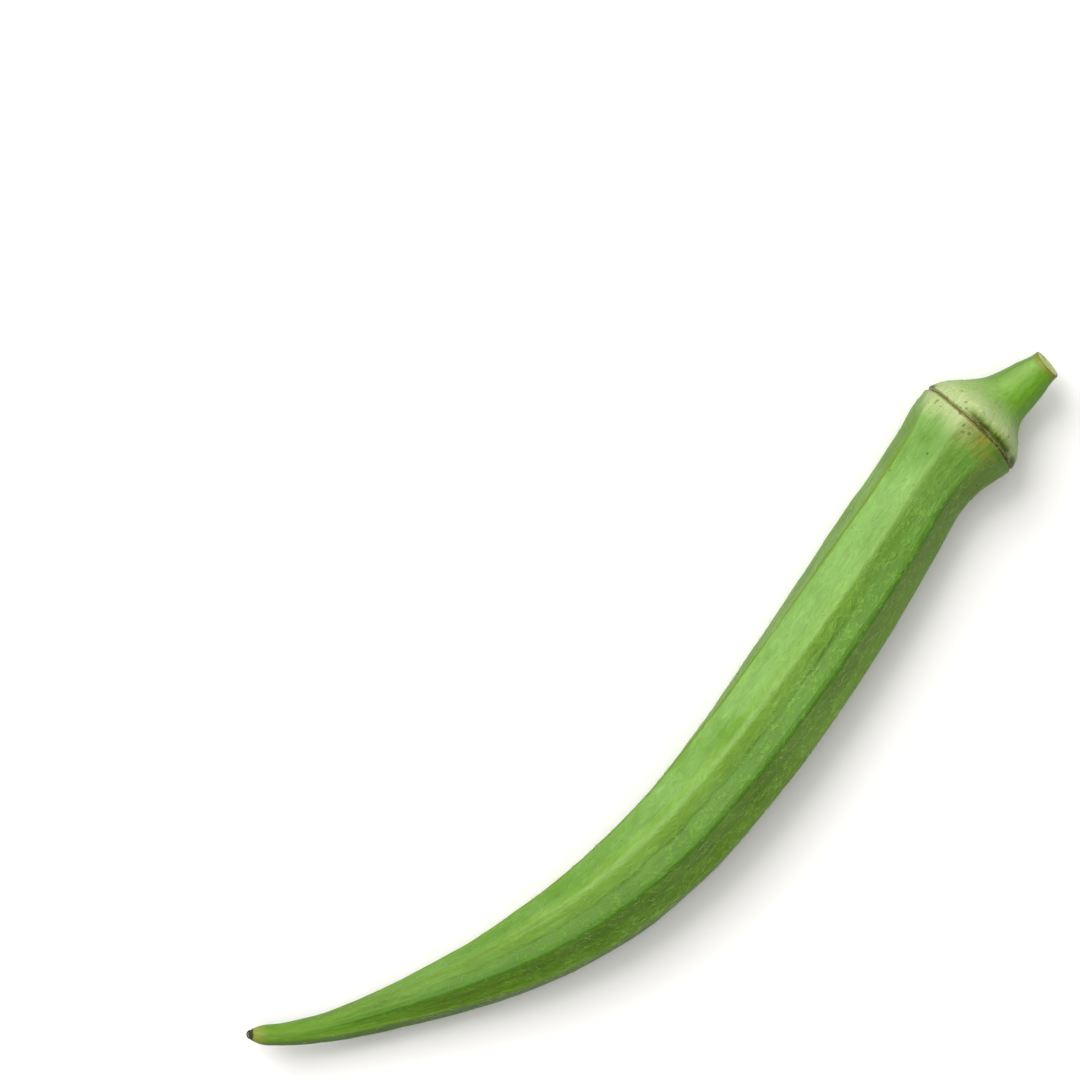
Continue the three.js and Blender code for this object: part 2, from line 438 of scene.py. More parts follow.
class Sums:
    """Arithmetic on the fields or colours of one node tree, written as calls."""

    def __init__(self, tree):
        self.tree = tree

    def do(self, operation, *values, clamp=False):
        inputs = dict(enumerate(values))
        made = node(self.tree, "ShaderNodeMath", inputs, operation=operation, use_clamp=clamp)
        return made.outputs[0]

    def vector(self, operation, *values):
        inputs = dict(enumerate(values))
        made = node(self.tree, "ShaderNodeVectorMath", inputs, operation=operation)
        return made.outputs["Value" if operation == "DOT_PRODUCT" else "Vector"]

    def scaled(self, vector, scale):
        inputs = {"Vector": vector, "Scale": scale}
        made = node(self.tree, "ShaderNodeVectorMath", inputs, operation="SCALE")
        return made.outputs["Vector"]

    def total(self, *values):
        sum_so_far = values[0]
        for value in values[1:]:
            sum_so_far = self.do("ADD", sum_so_far, value)
        return sum_so_far

    def product(self, *values):
        product_so_far = values[0]
        for value in values[1:]:
            product_so_far = self.do("MULTIPLY", product_so_far, value)
        return product_so_far

    def shifted(self, value, by, amount):
        """A value shifted by another, an amount of it."""
        return self.do("ADD", value, self.product(by, amount))

    def hill(self, x):
        """A smooth hill of height 1 that falls to nothing at 1 from its middle."""
        inside = self.do("SUBTRACT", 1.0, self.do("MULTIPLY", x, x), clamp=True)
        return self.do("MULTIPLY", inside, inside)

    def ramp(self, value, low, high, to_low=0.0, to_high=1.0):
        """A smooth step of a value between two limits."""
        limits = {"From Min": low, "From Max": high, "To Min": to_low, "To Max": to_high}
        inputs = {"Value": value, **limits}
        made = node(self.tree, "ShaderNodeMapRange", inputs, interpolation_type="SMOOTHSTEP")
        return made.outputs["Result"]

    def between(self, value, limits):
        """Full between the inner two of four limits of a value, and none past the outer two."""
        begins, full, fades, gone = limits
        return self.product(self.ramp(value, begins, full), self.ramp(value, gone, fades))

    def drawn_out(self, place, squeeze):
        """A place squeezed along Z, so that a pattern on it is drawn out that way."""
        by = node(self.tree, "ShaderNodeCombineXYZ", {"X": 1.0, "Y": 1.0, "Z": squeeze})
        return self.vector("MULTIPLY", place, by.outputs[0])

    def noise(self, place, scale, detail=2.0, roughness=0.5, distortion=0.0):
        """Noise from -0.5 to 0.5 at a place."""
        inputs = {
            "Vector": place,
            "Scale": scale,
            "Detail": detail,
            "Roughness": roughness,
            "Distortion": distortion,
        }
        made = node(self.tree, "ShaderNodeTexNoise", inputs)
        return self.do("SUBTRACT", made.outputs[0], 0.5)


SOCKETS = {
    int: "NodeSocketInt",
    float: "NodeSocketFloat",
    bpy.types.Material: "NodeSocketMaterial",
}


def named_tree(kind, name, carried, outputs, sizes):
    """A node tree that takes what it carries and named sizes, each with its default, and its
    named inputs. carried and outputs hold the kinds of sockets by their names."""
    tree = bpy.data.node_groups.new(name, kind)
    add_socket = tree.interface.new_socket
    for title, socket_kind in carried.items():
        add_socket(name=title, in_out="INPUT", socket_type=socket_kind)
    for title, default in spaced(sizes).items():
        socket = add_socket(name=title, in_out="INPUT", socket_type=SOCKETS[type(default)])
        socket.default_value = default
    for title, socket_kind in outputs.items():
        add_socket(name=title, in_out="OUTPUT", socket_type=socket_kind)
    return tree, tree.nodes.new("NodeGroupInput").outputs


def geometry_tree(name, **sizes):
    """A geometry tree with named inputs for its sizes, and those inputs."""
    carried = {"Geometry": "NodeSocketGeometry"}
    return named_tree("GeometryNodeTree", name, carried, carried, sizes)


def shader_group(name, outputs, **sizes):
    """A shader node group on a place, with named inputs for its sizes, and those inputs."""
    outputs = dict.fromkeys(outputs, "NodeSocketFloat")
    return named_tree("ShaderNodeTree", name, {"Place": "NodeSocketVector"}, outputs, sizes)


def finish_tree(tree, geometry, material):
    """Ends a tree with its instances made real and its material set."""
    real = node(tree, "GeometryNodeRealizeInstances", {"Geometry": geometry})
    inputs = {"Geometry": real.outputs[0], "Material": material}
    painted = node(tree, "GeometryNodeSetMaterial", inputs)
    node(tree, "NodeGroupOutput", {"Geometry": painted.outputs[0]})


def swept(tree, path, sides, **inputs):
    """A round profile with a number of sides, swept along a path into a mesh."""
    profile = node(tree, "GeometryNodeCurvePrimitiveCircle", {"Resolution": sides, "Radius": 1.0})
    inputs = {"Curve": path, "Profile Curve": profile.outputs["Curve"], **spaced(inputs)}
    return node(tree, "GeometryNodeCurveToMesh", inputs).outputs[0]


def stored(tree, geometry, name, value):
    """The geometry with a value or a vector stored on its points."""
    kind = "FLOAT_VECTOR" if value.type == "VECTOR" else "FLOAT"
    inputs = {"Geometry": geometry, "Name": name, "Value": value}
    made = node(
        tree, "GeometryNodeStoreNamedAttribute", inputs, data_type=kind, domain="POINT"
    )
    return made.outputs["Geometry"]


def named(tree, name, kind="FLOAT"):
    made = node(tree, "GeometryNodeInputNamedAttribute", {"Name": name}, data_type=kind)
    return made.outputs["Attribute"]


def picked(tree, index, values):
    """One of a few values, by its number."""
    made = node(tree, "GeometryNodeIndexSwitch", data_type="FLOAT")
    while len(made.index_switch_items) < len(values):
        made.index_switch_items.new()
    tree.links.new(index, made.inputs[0])
    for socket, value in zip(made.inputs[1:], values):
        socket.default_value = value
    return made.outputs[0]


def grown(name, tree, mesh):
    """The plain mesh object that a geometry tree grows from a mesh."""
    seed = in_scene(name + "_seed", mesh)
    modifier = seed.modifiers.new("grow", "NODES")
    modifier.node_group = tree
    evaluated = seed.evaluated_get(bpy.context.evaluated_depsgraph_get())
    grown_mesh = bpy.data.meshes.new_from_object(evaluated)
    grown_mesh.name = name
    seed.modifiers.remove(modifier)
    bpy.data.objects.remove(seed)
    return in_scene(name, grown_mesh)


def rows_mesh():
    """A line of points, one for each row of the skin, which carry the row's measures."""
    distance, share, sink = skin_rows()
    centre, onward, left, up = section_at(distance)
    points = [Vector(c) * MM for c in centre]
    mesh = bpy.data.meshes.new("pod_rows")
    mesh.from_pydata(points, [(i, i + 1) for i in range(len(points) - 1)], [])
    slant = np.clip((distance - LENGTH + SLANT_LENGTH) / SLANT_LENGTH, 0, 1)
    slant = slant**2 * (3 - 2 * slant) * math.tan(CUT_SLANT)
    numbers = {
        "along": distance * MM,
        "girth": radius_at(distance) * MM,
        "scar": scar_relief(distance) * MM,
        "valley": depth_at(distance),
        "turn": np.radians(turn_at(distance)),
        "pull": hill((distance - RING_AT) / RING_REACH) * MM,
        "share": share,
        "sink": sink * MM,
        "slant": slant,
    }
    for name, values in numbers.items():
        attribute = mesh.attributes.new(name, "FLOAT", "POINT")
        attribute.data.foreach_set("value", values.astype(np.float32))
    for name, ways in {"onward": onward, "left": left, "up": up}.items():
        attribute = mesh.attributes.new(name, "FLOAT_VECTOR", "POINT")
        attribute.data.foreach_set("vector", ways.astype(np.float32).ravel())
    return mesh


def skin_tree(skin_material):
    """The tree that weaves the skin round the rows, with its ridges, valleys, scar and wrinkles."""
    tree, given = geometry_tree(
        "Pod Skin",
        Sides=SKIN_SIDES,
        Ridges=RIDGE_COUNT,
        Ridge_Bulge=RIDGE_BULGE,
        Ridge_Rounding=RIDGE_ROUNDING,
        Uneven_Faces=UNEVEN_FACES,
        Ridge_Thread=0.00007,
        Thread_Reach=0.00032,
        Valley_Crease=0.00006,
        Crease_Reach=0.00035,
        Crease_Wander=0.0017,
        Wrinkles=0.00009,
        Lumps=0.00016,
        Pleats=0.00003,
        Pleats_Per_Radian=46.0,
        Drawn_Out=0.16,
        Skin_Material=skin_material,
    )
    sums = Sums(tree)
    rows = given["Geometry"]

    # The weave: a tube with a ring of points for each row, closed at both ends.
    size = node(tree, "GeometryNodeAttributeDomainSize", {"Geometry": rows}, component="MESH")
    line = node(tree, "GeometryNodeMeshLine", {"Count": size.outputs["Point Count"]})
    path = node(tree, "GeometryNodeMeshToCurve", {"Mesh": line.outputs[0]})
    tube = swept(tree, path.outputs[0], given["Sides"], Fill_Caps=True)

    # Where each point is: its row, and its angle from the first ridge and from the level.
    index = node(tree, "GeometryNodeInputIndex").outputs[0]
    row = sums.do("FLOOR", sums.do("DIVIDE", sums.do("ADD", index, 0.5), given["Sides"]))
    side = sums.do("SUBTRACT", index, sums.do("MULTIPLY", row, given["Sides"]))

    def of_row(name, kind="FLOAT"):
        """A measure that the rows carry, at the point's own row."""
        inputs = {"Geometry": rows, "Value": named(tree, name, kind), "Index": row}
        made = node(tree, "GeometryNodeSampleIndex", inputs, data_type=kind, domain="POINT")
        return made.outputs[0]

    along = of_row("along")
    pitches = sums.do("MULTIPLY", sums.do("DIVIDE", side, given["Sides"]), given["Ridges"])
    face = sums.do("FLOOR", sums.do("ADD", pitches, 0.001))
    first_place = picked(tree, face, [math.radians(place) for place in RIDGE_PLACES[:-1]])
    next_place = picked(tree, face, [math.radians(place) for place in RIDGE_PLACES[1:]])
    across_face = sums.do("SUBTRACT", pitches, face)
    width = sums.do("SUBTRACT", next_place, first_place)
    angle = sums.total(first_place, sums.product(across_face, width), of_row("turn"))
    half_face = sums.do("FLOOR", sums.do("ADD", sums.product(pitches, 2.0), 0.001))
    half_face = sums.do("MODULO", half_face, HALF_FACES)
    ridge = sums.do("FLOOR", sums.do("ADD", pitches, 0.5))
    off_ridge = sums.product(sums.do("ABSOLUTE", sums.do("SUBTRACT", pitches, ridge)), 2.0)
    ridge = sums.do("MODULO", ridge, given["Ridges"])

    # The section: full on the ridges, least in the valleys, and no two faces quite alike.
    rounding = given["Ridge Rounding"]
    squares = sums.total(sums.product(off_ridge, off_ridge), sums.product(rounding, rounding))
    softened = sums.do("SUBTRACT", sums.do("POWER", squares, 0.5), rounding)
    bulge = sums.product(given["Ridge Bulge"], softened, sums.do("SUBTRACT", 1.0, softened))
    swing = sums.do("COSINE", sums.product(face, UNEVEN_STEP))
    uneven = sums.do("MULTIPLY_ADD", swing, given["Uneven Faces"], 1.0)
    fall = sums.product(of_row("valley"), uneven, sums.do("ADD", softened, bulge))
    radius = sums.product(of_row("girth"), sums.do("SUBTRACT", 1.0, fall))

    # The same point on a pod straightened out, which patterns follow without a seam.
    cosine, sine = sums.do("COSINE", angle), sums.do("SINE", angle)
    inputs = {"X": sums.product(cosine, radius), "Y": sums.product(sine, radius), "Z": along}
    straight = node(tree, "ShaderNodeCombineXYZ", inputs).outputs[0]
    drawn_out = sums.drawn_out(straight, given["Drawn Out"])

    # Fine relief, which fades towards the tip, the scar and the stem.
    body = sums.between(along, BODY_RELIEF)
    skin = sums.between(along, SKIN_RELIEF)
    from_ridge = sums.product(off_ridge, radius, width, 0.5)
    thread = sums.hill(sums.do("DIVIDE", from_ridge, given["Thread Reach"]))
    thread = sums.product(given["Ridge Thread"], thread, body)
    wander = sums.product(sums.noise(drawn_out, 1000.0, 3.0), given["Crease Wander"])
    off_middle = sums.product(sums.do("SUBTRACT", across_face, 0.5), radius, width)
    from_crease = sums.do("ABSOLUTE", sums.do("ADD", off_middle, wander))
    patchy = sums.ramp(sums.noise(drawn_out, 260.0, 1.0), -0.12, 0.12, 0.35, 1.0)
    to_ring = sums.ramp(along, 0.122, 0.098)
    creased = sums.product(picked(tree, face, CREASES), patchy, body, to_ring)
    crease = sums.hill(sums.do("DIVIDE", from_crease, given["Crease Reach"]))
    crease = sums.product(given["Valley Crease"], crease, creased, -1.0)
    wrinkles = sums.noise(drawn_out, 1500.0, 3.0, 0.55, 0.4)
    wrinkles = sums.product(given["Wrinkles"], wrinkles, skin, 2.0)
    lumps = sums.product(given["Lumps"], sums.noise(straight, 130.0, 1.0), skin, 2.0)
    straying = sums.product(sums.noise(straight, 300.0), 9.0)
    turns = sums.total(sums.product(angle, given["Pleats Per Radian"]), straying)
    pleats = sums.product(given["Pleats"], sums.do("SINE", turns), sums.between(along, PLEATED))
    relief = sums.total(thread, crease, wrinkles, lumps, pleats, of_row("scar"))
    reach = sums.product(sums.do("ADD", radius, relief), of_row("share"))

    # The point's place: out from the middle, pulled along by the askew ring, and slanted at the
    # cut.
    lean = sums.product(sums.do("COSINE", sums.do("SUBTRACT", angle, RING_LEAN_SIDE)), RING_LEAN)
    wave = sums.product(sums.do("COSINE", sums.product(angle, 3.0)), RING_WAVE)
    pull = sums.product(of_row("pull"), sums.total(lean, wave))
    rise = sums.product(reach, sine)
    moves = {
        "left": sums.product(reach, cosine),
        "up": rise,
        "onward": sums.total(
            pull, sums.product(of_row("sink"), -1.0), sums.product(rise, of_row("slant"), -1.0)
        ),
    }
    place = of_row("position", "FLOAT_VECTOR")
    for way, move in moves.items():
        place = sums.vector("ADD", place, sums.scaled(of_row(way, "FLOAT_VECTOR"), move))
    made = node(tree, "GeometryNodeSetPosition", {"Geometry": tube, "Position": place}).outputs[0]

    marks = {
        "straight": straight,
        "lengthwise": of_row("onward", "FLOAT_VECTOR"),
        "along": along,
        "off_ridge": off_ridge,
        "from_ridge": from_ridge,
        "from_crease": from_crease,
        "creased": creased,
        "pale_ridge": picked(tree, ridge, PALE_RIDGES),
        "dark_ridge": picked(tree, ridge, DARK_RIDGES),
        "olive_ridge": picked(tree, ridge, OLIVE_RIDGES),
        "cool_side": picked(tree, half_face, COOL_SIDES),
        "warm_side": picked(tree, half_face, WARM_AND_SHADE_SIDES),
        "pale_side": picked(tree, half_face, PALE_AND_SHEEN_SIDES),
    }
    for name, value in marks.items():
        made = stored(tree, made, name, value)
    smooth = node(tree, "GeometryNodeSetShadeSmooth", {"Geometry": made})
    finish_tree(tree, smooth.outputs[0], given["Skin Material"])
    return tree


def make_patches():
    """Soft patches and streaks that are drawn out along the pod, as values round 0."""
    tree, given = shader_group(
        "Grown Patches",
        ("Patches", "Streaks"),
        Patches_per_metre=120.0,
        Streaks_per_metre=700.0,
        Drawn_Out=0.15,
    )
    sums = Sums(tree)
    patches = sums.noise(given["Place"], given["Patches per metre"])
    place = sums.drawn_out(given["Place"], given["Drawn Out"])
    streaks = sums.noise(place, given["Streaks per metre"], 3.0, 0.55, 0.3)
    outputs = {"Patches": sums.product(patches, 2.0), "Streaks": sums.product(streaks, 2.0)}
    node(tree, "NodeGroupOutput", outputs)


def make_wriggling_lines():
    """Short wriggling lines, as the contours of a noise broken up by another noise, 0 to 1."""
    tree, given = shader_group(
        "Wriggling Lines",
        ("Lines",),
        Lines_per_metre=900.0,
        Drawn_Out=0.4,
        Line_Width=0.1,
        Least_Noise_Shown=0.0,
    )
    sums = Sums(tree)
    place = sums.drawn_out(given["Place"], given["Drawn Out"])
    contour = sums.noise(place, given["Lines per metre"], 1.0, 0.5, 0.8)
    line = sums.hill(sums.do("DIVIDE", contour, given["Line Width"]))
    elsewhere = sums.vector("ADD", place, (0.31, 0.12, 0.05))
    breaks = sums.noise(elsewhere, sums.product(given["Lines per metre"], 0.8), 1.0)
    least = given["Least Noise Shown"]
    shown = sums.ramp(breaks, least, sums.do("ADD", least, 0.06))
    node(tree, "NodeGroupOutput", {"Lines": sums.product(line, shown)})


def make_specks():
    """Small specks, no two of a size and set far apart, 0 to 1."""
    tree, given = shader_group("Specks", ("Specks",), Specks_per_metre=350.0, Speck_Size=0.1)
    sums = Sums(tree)
    bend = sums.product(sums.noise(given["Place"], 2500.0, 1.0), 0.0003)
    place = sums.vector("ADD", given["Place"], sums.scaled((1.0, 1.0, 1.0), bend))
    inputs = {"Vector": place, "Scale": given["Specks per metre"], "Randomness": 1.0}
    cells = node(tree, "ShaderNodeTexVoronoi", inputs)
    draw = node(tree, "ShaderNodeSeparateColor", {"Color": cells.outputs["Color"]}).outputs[0]
    size = sums.product(given["Speck Size"], sums.ramp(draw, 0.5, 1.0))
    speck = sums.ramp(cells.outputs["Distance"], size, sums.product(size, 0.5))
    node(tree, "NodeGroupOutput", {"Specks": speck})


def empty_material(name):
    made = bpy.data.materials.new(name)
    made.use_nodes = True
    made.node_tree.nodes.clear()
    return made


class Paints(Sums):
    """A material whose colour is built up in layers, and sums on its tree."""

    def __init__(self, name, colour):
        self.material = empty_material(name)
        super().__init__(self.material.node_tree)
        ground = node(self.tree, "ShaderNodeRGB").outputs[0]
        ground.default_value = (*colour, 1.0)
        self.colour = ground

    def attribute(self, name, output="Fac"):
        return node(self.tree, "ShaderNodeAttribute", attribute_name=name).outputs[output]

    def lay(self, colour, *masks):
        """Lays a colour over the colour so far, as strongly as its masks say together."""
        inputs = {0: self.product(*masks), 6: self.colour, 7: (*colour, 1.0)}
        self.colour = node(self.tree, "ShaderNodeMix", inputs, data_type="RGBA").outputs[2]

    def shade(self, *amounts):
        """Makes the colour so far lighter or darker by the product of amounts round 0."""
        by = self.do("ADD", self.product(*amounts), 1.0)
        self.colour = self.scaled(self.colour, by)

    def object_place(self):
        return node(self.tree, "ShaderNodeTexCoord").outputs["Object"]

    def group(self, name, **inputs):
        """Adds one of the node groups, and gives its outputs."""
        shared = bpy.data.node_groups[name]
        return node(self.tree, "ShaderNodeGroup", spaced(inputs), node_tree=shared).outputs

    def worn(self, **sizes):
        """Grown patches and streaks at the object's own place."""
        made = self.group("Grown Patches", Place=self.object_place(), **sizes)
        return made["Patches"], made["Streaks"]

    def finish(self, roughness, height, gloss):
        """Ends the material with the height of its fine relief in millimetres."""
        bump = node(self.tree, "ShaderNodeBump", {"Height": height, "Distance": MM})
        inputs = {
            "Base Color": self.colour,
            "Roughness": roughness,
            "Normal": bump.outputs[0],
            "Specular IOR Level": gloss,
        }
        shader = node(self.tree, "ShaderNodeBsdfPrincipled", inputs)
        node(self.tree, "ShaderNodeOutputMaterial", {"Surface": shader.outputs[0]})
        return self.material


def pod_skin_material():
    paint = Paints("okra_skin", DEEP_GREEN)
    place = paint.attribute("straight", "Vector")
    along = paint.attribute("along")
    from_ridge = paint.attribute("from_ridge")
    pale_ridge = paint.attribute("pale_ridge")
    olive_ridge = paint.attribute("olive_ridge")
    round_the_pod = paint.vector("NORMALIZE", paint.vector("MULTIPLY", place, (1.0, 1.0, 0.0)))

    def towards(degrees, low, high):
        """Full on the side of the pod that faces an angle, and none away from it."""
        side = (math.cos(math.radians(degrees)), math.sin(math.radians(degrees)), 0.0)
        return paint.ramp(paint.vector("DOT_PRODUCT", round_the_pod, side), low, high)

    def scale_of(mask, least, most):
        """A mask with other values where it is none and full."""
        return paint.do("MULTIPLY_ADD", mask, most - least, least)

    grown_in = paint.group("Grown Patches", Place=place)
    patches, streaks = grown_in["Patches"], grown_in["Streaks"]
    fine = paint.group("Grown Patches", Place=place, Streaks_per_metre=2400.0, Drawn_Out=0.25)
    fine = fine["Streaks"]
    lines = paint.group("Wriggling Lines", Place=place)["Lines"]
    crinkles = paint.group(
        "Wriggling Lines",
        Place=place,
        Lines_per_metre=1100.0,
        Drawn_Out=0.8,
        Least_Noise_Shown=-0.06,
    )
    crinkled = paint.product(crinkles["Lines"], paint.between(along, CRINKLED))
    crinkly = towards(122, 0.70, 0.93)

    # The green of the body: cooler by face; warmer and darker by face, partly painted shade on the
    # faces turned from the light; darker to the tip, with painted shade on its lower side; paler to
    # the thick end, partly painted sheen on the face towards the light.
    paint.lay(LEAF_GREEN, paint.ramp(patches, -0.45, 0.3))
    valley = paint.shifted(paint.attribute("off_ridge"), streaks, 0.25)
    paint.lay(COOL_GREEN, paint.ramp(valley, 0.0, 0.25), paint.attribute("cool_side"))
    # Painted shade: a warmer, darker green on the faces turned from the light and on the left
    # strip, over a tone that differs by face.
    paint.lay(WARM_AND_SHADE_GREEN, paint.attribute("warm_side"))
    wide = paint.shifted(along, patches, 0.02)
    # Painted shade: a darker green on the lower side towards the tip.
    paint.lay(TIP_SHADE_GREEN, paint.ramp(wide, 0.105, 0.040), towards(150, 0.1, 0.9), 0.75)
    paint.lay(END_GREEN, paint.ramp(wide, 0.030, 0.004), towards(60, -0.2, 0.6))
    # Painted sheen: the paler green on the face towards the light, in patches, towards the thick
    # end; elsewhere a pale tone that differs by face.
    pale_patches = paint.ramp(patches, -0.5, 0.2)
    paint.lay(PALE_AND_SHEEN_GREEN, paint.ramp(wide, 0.025, 0.100), paint.attribute("pale_side"), pale_patches)
    near_ridge = paint.ramp(paint.shifted(from_ridge, streaks, 0.0006), 0.0026, 0.0004)
    paint.lay(YELLOW_GREEN, near_ridge, pale_ridge, paint.between(along, YELLOWED), 0.4)
    # Painted shade: the crease down each face is darkened, and is pressed in by the bump below as
    # well.
    crease = paint.hill(paint.do("DIVIDE", paint.attribute("from_crease"), 0.0003))
    crease = paint.product(crease, paint.attribute("creased"))
    paint.shade(crease, -0.22)

    # The threads of the ridges: pale, dark green or olive.
    wavering = paint.shifted(from_ridge, streaks, 0.00025)
    pale_line = paint.ramp(wavering, 0.0007, 0.00025)
    paint.lay(PALE_RIDGE, pale_line, pale_ridge, paint.between(along, PALE_THREADS))
    dark_line = paint.product(paint.ramp(wavering, 0.00065, 0.0005), paint.attribute("dark_ridge"))
    paint.lay(DARK_RIDGE, dark_line, paint.between(along, DARK_THREADS))
    olive_line = paint.product(paint.ramp(wavering, 0.0004, 0.0002), olive_ridge)
    by_tip = paint.ramp(along, 0.060, 0.045)
    lasting = paint.do("MAXIMUM", by_tip, paint.ramp(olive_ridge, 0.7, 0.9))
    paint.lay(OLIVE_RIDGE, olive_line, paint.between(along, OLIVE_THREADS), lasting)

    # The green of the stem, with a painted highlight along its top, and the paler skin on both
    # sides of the ring.
    stem = paint.ramp(paint.shifted(along, streaks, 0.002), 0.1455, 0.149)
    # Painted highlight: a pale band along the top of the stem.
    paint.lay(CAP_AND_HIGHLIGHT_GREEN, stem, towards(85, 0.55, 0.98), 0.75)
    paint.lay(STEM_GREEN, stem, towards(150, -0.1, 0.75))
    waved = paint.shifted(paint.shifted(along, patches, 0.0016), streaks, 0.0012)
    paint.lay(CAP_AND_HIGHLIGHT_GREEN, paint.between(waved, CAP))
    pod_side = paint.do("POWER", paint.ramp(waved, 0.1370, 0.1416), 2.0)
    pod_side = paint.product(pod_side, paint.ramp(waved, 0.1424, 0.1416), towards(52, 0.60, 0.94))
    cap_side = paint.product(paint.between(waved, CAP_COLLAR), towards(85, 0.0, 0.6))
    paint.lay(PALE_COLLAR, paint.do("MAXIMUM", pod_side, cap_side))

    # The scar: olive blotches and dark dots beside it, and an olive groove, dark in its middle.
    # Painted shade lies beside it as olive and dark green bands on the side turned from the light
    # and along the left side, and makes the groove darker there.
    off_scar = paint.shifted(paint.do("ADD", along, -RING_AT * MM), fine, 0.00025)

    def band(off, reach):
        """A band beside the scar, by how far its middle is off and how far it reaches, in mm."""
        return paint.hill(paint.do("DIVIDE", paint.do("SUBTRACT", off_scar, off * MM), reach * MM))

    shady = towards(125, 0.5, 0.85)
    blotches = paint.ramp(paint.noise(place, 420.0, 3.0, 0.6), -0.02, 0.12)
    below = scale_of(towards(103, 0.82, 0.97), 0.1, 1.0)
    paint.lay(OLIVE, band(-1.0, 3.2), below, scale_of(blotches, 0.45, 1.0))
    dots = paint.group("Specks", Place=place, Specks_per_metre=1400.0, Speck_Size=0.6)["Specks"]
    clusters = paint.ramp(paint.noise(place, 380.0), -0.08, 0.06)
    paint.lay(SPECK_AND_SHADE_GREEN, dots, band(0.0, 4.6), clusters, 0.7)
    uneven = paint.ramp(paint.noise(place, 500.0), -0.2, 0.1, 0.35, 1.0)
    # Painted shade: olive and dark green bands beside the scar on the side turned from the light,
    # and a dark green band along the left side.
    paint.lay(OLIVE_RIDGE, band(0.9, 1.3), shady, uneven, 0.8)
    paint.lay(SPECK_AND_SHADE_GREEN, band(0.6, 0.8), shady, uneven)
    paint.lay(DARK_RIDGE, band(-0.8, 1.0), towards(138, 0.86, 0.98), uneven, 0.8)
    paint.lay(SPECK_AND_SHADE_GREEN, band(0.3, 1.0), uneven, towards(6, 0.955, 0.995))
    paint.lay(OLIVE, band(0.0, 0.48), 0.8)
    # The dark of the groove, partly its own colour and partly painted shade, fuller on the side
    # turned from the light and along the left side.
    darker = paint.do("MAXIMUM", shady, towards(5, 0.88, 0.98))
    paint.lay(SCAR_DARK, band(0.0, 0.36), scale_of(darker, 0.7, 1.0))

    # The two ends: olive and dark by the dried tip, and olive by the cut.
    paint.lay(TIP_OLIVE, paint.ramp(paint.shifted(along, patches, 0.002), 0.0032, 0.0008), 0.8)
    paint.lay(TIP_DARK, paint.ramp(paint.shifted(along, fine, 0.0003), 0.00085, 0.00060))
    paint.lay(OLIVE, paint.ramp(paint.shifted(along, streaks, 0.0006), 0.1553, 0.1561), 0.7)

    # Fine marks all over.
    paint.shade(fine, 0.22)
    paint.shade(streaks, 0.2)
    paint.shade(lines, 0.1)
    paint.shade(crinkled, scale_of(crinkly, 0.04, 0.29))
    specks = paint.group("Specks", Place=place)["Specks"]
    paint.shade(specks, paint.ramp(along, 0.10, 0.138, 0.35, 1.0), -0.55)

    height = paint.total(
        paint.product(fine, 0.04),
        paint.product(streaks, 0.04),
        paint.product(lines, 0.025),
        paint.product(crinkled, scale_of(crinkly, 0.01, 0.042)),
        paint.product(crease, -0.04),
    )
    return paint.finish(scale_of(fine, 0.52, 0.64), height, gloss=0.2)


def scar_material():
    paint = Paints("ring_scar", SCAR_DARK)
    patches, streaks = paint.worn(Patches_per_metre=900.0, Streaks_per_metre=3000.0)
    paint.lay(SCAR_BROWN, paint.ramp(patches, -0.45, 0.0))
    paint.shade(streaks, 0.6)
    return paint.finish(0.75, paint.product(streaks, 0.03), gloss=0.2)


def dried_tip_material():
    """Dark outside, paler in the cup, and olive where it meets the skin."""
    paint = Paints("dried_tip", TIP_DARK)
    patches, streaks = paint.worn(Patches_per_metre=1500.0, Streaks_per_metre=5000.0)
    inner = paint.attribute("inner")
    paint.lay(CUT_CREAM, paint.ramp(inner, 0.2, 0.7), paint.ramp(patches, -0.5, 0.0), 0.6)
    paint.lay(TIP_OLIVE, paint.ramp(inner, 0.0, -0.6))
    paint.shade(streaks, 0.7)
    return paint.finish(0.8, paint.product(streaks, 0.04), gloss=0.2)


def cut_face_material():
    """The cut stem: soft pith, pale fibres round it, and a green rind with a browned edge."""
    paint = Paints("cut_face", CUT_PITH)
    outward = paint.attribute("outward")
    patches, streaks = paint.worn(Patches_per_metre=1200.0, Streaks_per_metre=4000.0)
    place = paint.object_place()
    specks = paint.group("Specks", Place=place, Specks_per_metre=1900.0, Speck_Size=0.35)["Specks"]
    paint.lay(CUT_CREAM, paint.ramp(outward, 0.3, 0.65))
    paint.lay(CAP_AND_HIGHLIGHT_GREEN, paint.ramp(outward, 0.8, 0.95))
    paint.lay(OLIVE, paint.ramp(patches, 0.0, 0.4), 0.5)
    paint.lay(SCAR_BROWN, paint.ramp(outward, 0.93, 1.0))
    paint.shade(specks, -0.4)
    paint.shade(streaks, 0.35)
    height = paint.total(paint.product(streaks, 0.05), paint.product(specks, -0.05))
    return paint.finish(0.6, height, gloss=0.25)


def hair_material():
    paint = Paints("pod_hair", HAIR_PALE)
    patches, streaks = paint.worn(Patches_per_metre=800.0)
    paint.shade(patches, 0.5)
    return paint.finish(0.5, paint.product(streaks, 0.002), gloss=0.3)


def skin_grid(skin):
    """The points of the skin and the ways that it faces there, by row and side."""
    mesh = skin.data
    facing = np.zeros(len(mesh.vertices) * 3, np.float32)
    mesh.vertex_normals.foreach_get("vector", facing)
    shape = (-1, SKIN_SIDES, 3)
    return points_of(mesh).reshape(shape), facing.reshape(shape)


